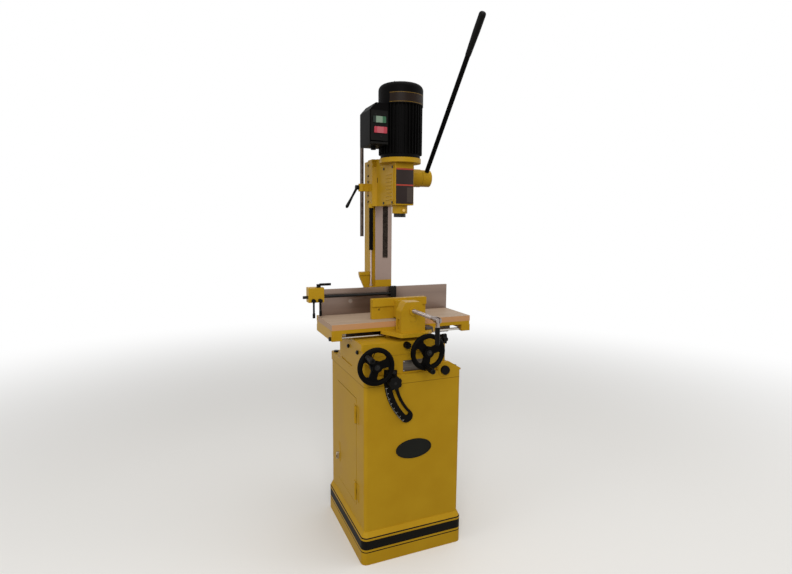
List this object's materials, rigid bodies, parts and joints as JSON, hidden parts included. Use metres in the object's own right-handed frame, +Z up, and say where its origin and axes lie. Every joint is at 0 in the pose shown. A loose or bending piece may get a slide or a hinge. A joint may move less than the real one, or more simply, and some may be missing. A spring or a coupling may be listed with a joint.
{
  "type": "floor-standing hollow-chisel mortiser",
  "caption": "Hollow-chisel mortiser on a closed cabinet stand: tilting cross-slide table with fence and vise, and a lever-fed head with its motor on a column.",
  "frame": {"origin": "on the floor under the middle of the cabinet, at the underside of the plinth's floor plate", "axes": "+Z up, +X to the right of a person facing the front, +Y from the front to the back; the front faces -Y"},
  "size_m": [0.603, 0.5875, 1.8414],
  "materials": {
    "yellow_paint": "mustard yellow enamel over castings and sheet",
    "black_paint": "black enamel",
    "bright_steel": "bright ground steel",
    "ground_iron": "ground bare iron",
    "dark_steel": "blackened steel",
    "dark_plate": "plain dark plate",
    "black_plastic": "moulded black plastic",
    "wood": "sealed hardwood board",
    "laminated_iron": "varnished laminations and winding",
    "cast_aluminium": "bare cast aluminium",
    "green_plastic": "green moulded plastic",
    "red_plastic": "red moulded plastic",
    "rubber": "black ribbed rubber"
  },
  "bodies": {
    "stand": {"base_plinth": "yellow_paint", "cabinet_shell": "yellow_paint", "badge_plate": "dark_plate", "base_casting": "yellow_paint", "column": "yellow_paint", "column_rack": "dark_steel", "stand_fasteners": "dark_steel", "tilt_shaft": "dark_steel", "gas_spring_rod": "bright_steel"},
    "door": {"cabinet_door": "yellow_paint"},
    "latch": {"latch_knob": "black_plastic"},
    "clamp": {"tilt_clamp_knob": "black_plastic"},
    "cradle": {"tilt_cradle": "yellow_paint", "tilt_quadrant": "black_paint", "cradle_fittings": "dark_steel"},
    "cross_feed": {"cross_wheel": "black_paint", "cross_screw": "bright_steel"},
    "cross_grip": {"cross_crank": "black_plastic"},
    "saddle": {"saddle": "yellow_paint"},
    "lock": {"lock_knob": "black_plastic"},
    "star": {"star_knob": "black_plastic"},
    "table_feed": {"table_wheel": "black_paint", "table_pinion": "bright_steel"},
    "table_grip": {"table_crank": "black_plastic"},
    "table": {"table_casting": "yellow_paint", "table_board": "wood", "table_rack": "dark_steel", "guide_rod": "bright_steel", "fence": "ground_iron", "fence_fittings": "dark_steel", "vise_body": "yellow_paint", "stop_bracket": "yellow_paint"},
    "jaw": {"vise_jaw": "yellow_paint"},
    "clamp_screw": {"vise_screw": "bright_steel"},
    "clamp_handle": {"vise_handle": "black_paint"},
    "stop": {"stop_rod": "black_paint"},
    "stop_top": {"stop_top_lever": "black_paint"},
    "stop_left": {"stop_lever_left": "black_paint"},
    "stop_right": {"stop_lever_right": "black_paint"},
    "head": {"head_casting": "yellow_paint", "head_fittings": "dark_steel", "head_covers": "yellow_paint", "chisel_bushing": "dark_steel", "gas_cylinder": "black_paint", "motor_housing": "black_paint", "motor_stator": "laminated_iron", "motor_shield": "cast_aluminium", "fan_cover": "black_paint", "switch_box": "black_plastic", "switch_panel": "black_plastic"},
    "green": {"green_button": "green_plastic"},
    "red": {"red_button": "red_plastic"},
    "spindle": {"motor_shaft": "bright_steel", "chuck": "bright_steel"},
    "depth": {"depth_rod": "black_paint"},
    "depth_lock": {"depth_lever": "black_paint"},
    "feed": {"feed_pinion": "bright_steel", "feed_hub": "yellow_paint", "feed_lever": "black_paint", "lever_grip": "rubber"}
  },
  "joints": [
    {"name": "door_hinge", "type": "hinge", "parent": "stand", "child": "door", "pos_m": [-0.1898, -0.1147, 0.3725], "axis": [0, 0, 1], "range_deg": [0, 110]},
    {"name": "latch_turn", "type": "hinge", "parent": "door", "child": "latch", "pos_m": [-0.1855, 0.1, 0.271], "axis": [1, 0, 0], "range_deg": [0, 90]},
    {"name": "clamp_turn", "type": "hinge", "parent": "stand", "child": "clamp", "pos_m": [-0.08672, -0.223, 0.65422], "axis": [0, 1, 0], "range_deg": [0, 180]},
    {"name": "table_tilt", "type": "hinge", "parent": "stand", "child": "cradle", "pos_m": [0.1165, -0.05, 0.672], "axis": [0, 1, 0], "range_deg": [0, 35]},
    {"name": "cross_slide", "type": "slide", "parent": "cradle", "child": "saddle", "axis": [0, 1, 0], "range_m": [-0.044, 0.004]},
    {"name": "cross_feed_turn", "type": "hinge", "parent": "cradle", "child": "cross_feed", "pos_m": [-0.159, -0.24, 0.721], "axis": [0, 1, 0], "range_deg": [-3842, 242]},
    {"name": "cross_grip_turn", "type": "hinge", "parent": "cross_feed", "child": "cross_grip", "pos_m": [-0.19446, -0.27, 0.75903], "axis": [0, 1, 0], "continuous": true},
    {"name": "table_slide", "type": "slide", "parent": "saddle", "child": "table", "axis": [1, 0, 0], "range_m": [-0.16, 0.16]},
    {"name": "table_feed_turn", "type": "hinge", "parent": "saddle", "child": "table_feed", "pos_m": [0.0308, -0.24, 0.753], "axis": [0, 1, 0], "range_deg": [-383, 383]},
    {"name": "table_grip_turn", "type": "hinge", "parent": "table_feed", "child": "table_grip", "pos_m": [0.01999, -0.27, 0.70214], "axis": [0, 1, 0], "continuous": true},
    {"name": "lock_turn", "type": "hinge", "parent": "saddle", "child": "lock", "pos_m": [-0.027, -0.195, 0.772], "axis": [0, 1, 0], "range_deg": [0, 180]},
    {"name": "star_turn", "type": "hinge", "parent": "saddle", "child": "star", "pos_m": [0.12, -0.15, 0.772], "axis": [1, 0, 0], "range_deg": [0, 180]},
    {"name": "jaw_slide", "type": "slide", "parent": "table", "child": "jaw", "axis": [0, 1, 0], "range_m": [-0.021, 0.06]},
    {"name": "jaw_screw_turn", "type": "hinge", "parent": "jaw", "child": "clamp_screw", "pos_m": [0, -0.2, 0.889], "axis": [0, 1, 0], "range_deg": [-2882, 4322]},
    {"name": "handle_fold", "type": "hinge", "parent": "clamp_screw", "child": "clamp_handle", "pos_m": [0, -0.365, 0.889], "axis": [1, 0, 0], "range_deg": [-90, 0]},
    {"name": "stop_slide", "type": "slide", "parent": "table", "child": "stop", "axis": [1, 0, 0], "range_m": [-0.15, 0.06]},
    {"name": "stop_top_turn", "type": "hinge", "parent": "table", "child": "stop_top", "pos_m": [-0.271, 0.066, 0.958], "axis": [0, 0, 1], "range_deg": [0, 90]},
    {"name": "stop_left_turn", "type": "hinge", "parent": "table", "child": "stop_left", "pos_m": [-0.295, 0.045, 0.905], "axis": [0, 1, 0], "range_deg": [0, 90]},
    {"name": "stop_right_turn", "type": "hinge", "parent": "table", "child": "stop_right", "pos_m": [-0.27, 0.045, 0.905], "axis": [0, 1, 0], "range_deg": [-90, 0]},
    {"name": "head_slide", "type": "slide", "parent": "stand", "child": "head", "axis": [0, 0, 1], "range_m": [-0.085, 0]},
    {"name": "feed_turn", "type": "hinge", "parent": "head", "child": "feed", "pos_m": [0.15, 0.0527, 1.363], "axis": [1, 0, 0], "range_deg": [0, 98]},
    {"name": "spindle_turn", "type": "hinge", "parent": "head", "child": "spindle", "pos_m": [0, -0.056, 1.5], "axis": [0, 0, 1], "continuous": true},
    {"name": "green_press", "type": "slide", "parent": "head", "child": "green", "axis": [0, 1, 0], "range_m": [0, 0.003], "stiffness_N_per_m": 500, "springref_m": -0.002},
    {"name": "red_press", "type": "slide", "parent": "head", "child": "red", "axis": [0, 1, 0], "range_m": [0, 0.003], "stiffness_N_per_m": 500, "springref_m": -0.002},
    {"name": "depth_slide", "type": "slide", "parent": "head", "child": "depth", "axis": [0, 0, 1], "range_m": [-0.052, 0.04]},
    {"name": "depth_lock_turn", "type": "hinge", "parent": "head", "child": "depth_lock", "pos_m": [-0.098, 0.135, 1.326], "axis": [1, 0, 0], "range_deg": [-40, 90]}
  ],
  "couplings": [
    {"joint": "cross_feed_turn", "follows": "cross_slide", "rad_per_m": 1047.2},
    {"joint": "table_feed_turn", "follows": "table_slide", "rad_per_m": 41.667},
    {"joint": "jaw_screw_turn", "follows": "jaw_slide", "rad_per_m": 1256.6},
    {"joint": "feed_turn", "follows": "head_slide", "rad_per_m": -20}
  ]
}
